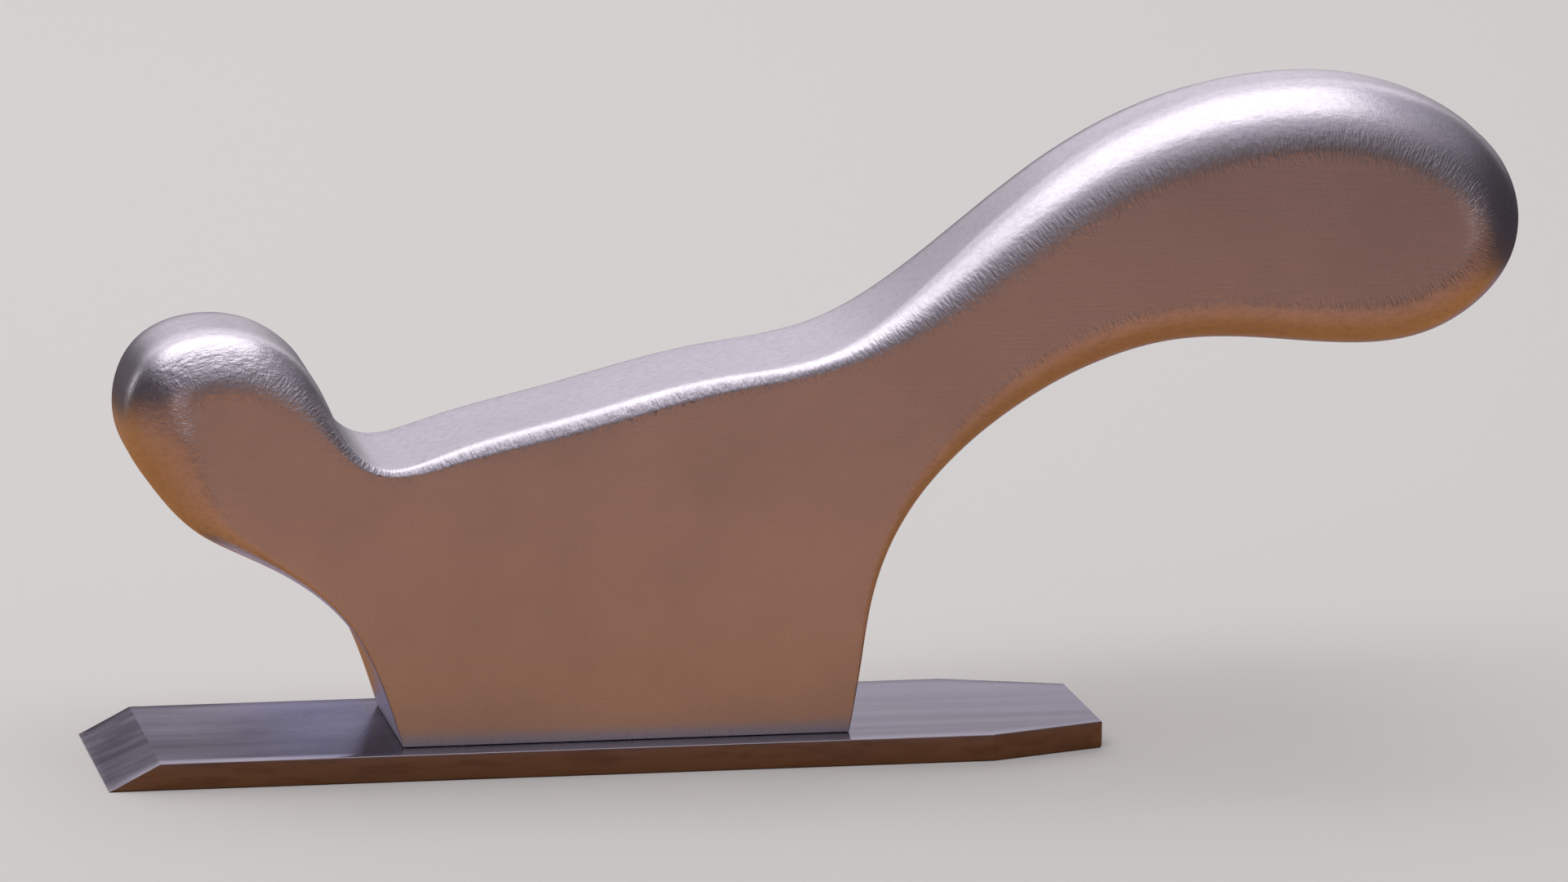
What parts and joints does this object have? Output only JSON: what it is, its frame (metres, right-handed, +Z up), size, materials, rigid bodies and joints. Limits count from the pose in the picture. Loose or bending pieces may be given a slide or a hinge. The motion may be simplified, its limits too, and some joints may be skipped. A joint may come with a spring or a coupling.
{
  "type": "flush-trimming plane",
  "caption": "Small one-hand flush-trimming plane: one-piece metal body with front knob, flat stock and squirrel-tail handle, on a flat bevelled blade held magnetically against its sole.",
  "frame": {"origin": "middle of the whole plane's length and width, on the plane of the blade's flat back, which lies on the work", "axes": "+X from the cutting edge towards the handle, +Y across the blade, +Z up"},
  "size_m": [0.1693, 0.0254, 0.0791],
  "materials": {
    "body_aluminium": "satin, hand-sanded, with fine brushing on the flat sides",
    "blade_steel": "ground tool steel, oiled grey, with a stoned bevel",
    "cup_steel": "zinc-plated steel",
    "magnet_nickel": "bright nickel plating",
    "screw_steel": "plain machined steel"
  },
  "bodies": {
    "plane_body": {"body": "body_aluminium", "magnet_cup_1": "cup_steel", "magnet_cup_2": "cup_steel", "magnet_cup_3": "cup_steel", "magnet_1": "magnet_nickel", "magnet_2": "magnet_nickel", "magnet_3": "magnet_nickel", "cup_screw_1": "screw_steel", "cup_screw_2": "screw_steel", "cup_screw_3": "screw_steel"},
    "blade": {"blade": "blade_steel"}
  },
  "joints": [
    {"name": "blade_slide", "type": "slide", "parent": "plane_body", "child": "blade", "axis": [1, 0, 0], "range_m": [-0.031, 0.035]}
  ]
}
